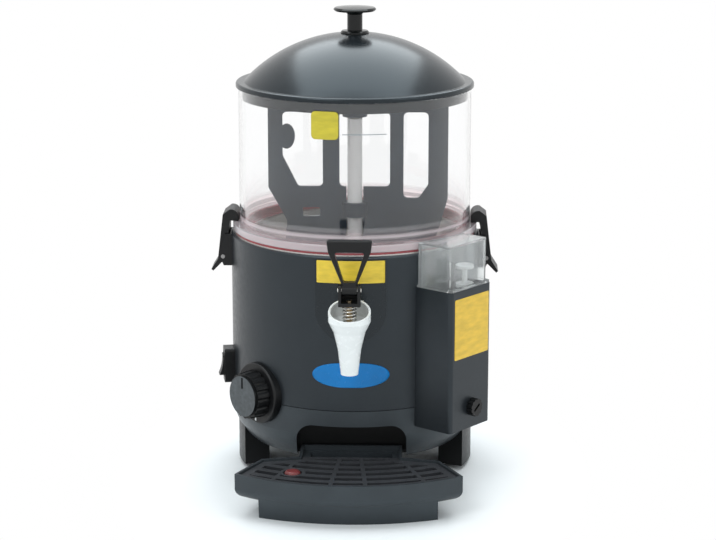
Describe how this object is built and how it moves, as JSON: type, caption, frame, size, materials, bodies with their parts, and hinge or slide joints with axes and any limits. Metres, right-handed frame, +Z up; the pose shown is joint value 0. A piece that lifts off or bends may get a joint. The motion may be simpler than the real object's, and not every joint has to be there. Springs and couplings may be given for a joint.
{
  "type": "hot chocolate dispenser",
  "caption": "Counter-top hot chocolate dispenser: heated round base, clear bowl with stirrer and domed lid, lever tap, side water box, latches and a slide-out drip tray.",
  "frame": {"origin": "centre of the footprint on the counter, under the overall box", "axes": "+Z up, the front with the tap faces -Y, the water box is on the +X side"},
  "size_m": [0.2788, 0.34, 0.4475],
  "materials": {
    "drum_black": "satin dark grey painted shell",
    "lid_black": "satin dark grey moulded dome",
    "clear_plastic": "clear polycarbonate",
    "steel": "stainless, brushed",
    "red_silicone": "soft red silicone",
    "white_plastic": "glossy white moulding",
    "column_white": "pale translucent tube",
    "paddle_grey": "satin blue-grey moulding",
    "black_plastic": "black moulding",
    "dark_rubber": "black rubber",
    "cream_plastic": "cream moulding",
    "dark_metal": "dark painted sheet",
    "motor_metal": "cast housing"
  },
  "bodies": {
    "base": {"housing_shell": "drum_black", "lower_skirt": "drum_black", "recess_liner": "black_plastic", "base_plate": "dark_metal", "legs": "black_plastic", "rubber_pads": "dark_rubber", "inner_pan": "steel", "pan_floor": "steel", "water_bath": "steel", "heating_element": "steel", "gear_motor": "motor_metal", "motor_bracket": "steel", "bowl_seal": "red_silicone", "bowl": "clear_plastic", "shaft_column": "column_white", "escutcheon": "drum_black", "tap_body": "white_plastic", "tap_nut": "cream_plastic", "tap_seal": "red_silicone", "tap_bonnet": "black_plastic", "lever_pin": "steel", "tap_spring": "steel", "water_box": "drum_black", "water_pipe": "steel", "dial_bezel": "black_plastic", "thermostat_body": "motor_metal", "switch_bezel": "black_plastic", "latch_bracket_left": "dark_metal", "latch_pin_left": "steel", "latch_bracket_right": "dark_metal", "latch_pin_right": "steel", "rear_panel": "drum_black", "cable_inlet": "black_plastic"},
    "lid": {"lid": "lid_black", "lid_knob": "black_plastic", "knob_screw": "steel"},
    "stirrer": {"stirrer": "paddle_grey", "drive_shaft": "steel"},
    "tap_lever": {"tap_lever": "black_plastic"},
    "tap_plunger": {"tap_plunger": "steel"},
    "thermostat_knob": {"thermostat_knob": "black_plastic"},
    "switch_rocker": {"switch_rocker": "black_plastic"},
    "latch_left": {"latch_left": "black_plastic"},
    "latch_right": {"latch_right": "black_plastic"},
    "box_cover": {"box_cover": "clear_plastic"},
    "level_float": {"level_float": "white_plastic"},
    "drain_plug": {"drain_plug": "black_plastic"},
    "drip_tray": {"drip_tray": "drum_black"},
    "drip_grate": {"drip_grate": "black_plastic"},
    "tray_float": {"tray_float": "red_silicone"}
  },
  "joints": [
    {"name": "lid_lift", "type": "slide", "parent": "base", "child": "lid", "axis": [0, 0, 1], "range_m": [0, 0.12]},
    {"name": "stirrer_turn", "type": "hinge", "parent": "base", "child": "stirrer", "pos_m": [0, 0.044, 0.25], "axis": [0, 0, 1], "continuous": true},
    {"name": "lever_tilt", "type": "hinge", "parent": "base", "child": "tap_lever", "pos_m": [0, -0.109, 0.207], "axis": [1, 0, 0], "range_deg": [0, 45], "stiffness_Nm_per_rad": 0.4},
    {"name": "plunger_lift", "type": "slide", "parent": "base", "child": "tap_plunger", "axis": [0, 0, 1], "range_m": [0, 0.0042], "deforming": ["tap_spring"]},
    {"name": "thermostat_turn", "type": "hinge", "parent": "base", "child": "thermostat_knob", "pos_m": [-0.08847, -0.03707, 0.088], "axis": [-0.7373, -0.6756, 0], "range_deg": [0, 270]},
    {"name": "switch_rock", "type": "hinge", "parent": "base", "child": "switch_rocker", "pos_m": [-0.11571, 0.0236, 0.0995], "axis": [0.1736, -0.9848, 0], "range_deg": [0, 9]},
    {"name": "latch_left_swing", "type": "hinge", "parent": "base", "child": "latch_left", "pos_m": [-0.1277, 0.044, 0.206], "axis": [0, -1, 0], "range_deg": [0, 35], "stiffness_Nm_per_rad": 0.3},
    {"name": "latch_right_swing", "type": "hinge", "parent": "base", "child": "latch_right", "pos_m": [0.1277, 0.044, 0.206], "axis": [0, 1, 0], "range_deg": [0, 35], "stiffness_Nm_per_rad": 0.3},
    {"name": "box_cover_lift", "type": "slide", "parent": "base", "child": "box_cover", "axis": [0, 0, 1], "range_m": [0, 0.06]},
    {"name": "level_float_rise", "type": "slide", "parent": "base", "child": "level_float", "axis": [0, 0, 1], "range_m": [0, 0.018]},
    {"name": "drain_plug_pull", "type": "slide", "parent": "base", "child": "drain_plug", "axis": [0.788, -0.6157, 0], "range_m": [0, 0.02]},
    {"name": "drip_tray_slide", "type": "slide", "parent": "base", "child": "drip_tray", "axis": [0, -1, 0], "range_m": [0, 0.13]},
    {"name": "drip_grate_lift", "type": "slide", "parent": "drip_tray", "child": "drip_grate", "axis": [0, 0, 1], "range_m": [0, 0.04]},
    {"name": "tray_float_rise", "type": "slide", "parent": "drip_tray", "child": "tray_float", "axis": [0, 0, 1], "range_m": [0, 0.006]}
  ],
  "couplings": [
    {"joint": "plunger_lift", "follows": "lever_tilt", "m_per_rad": 0.005093}
  ]
}
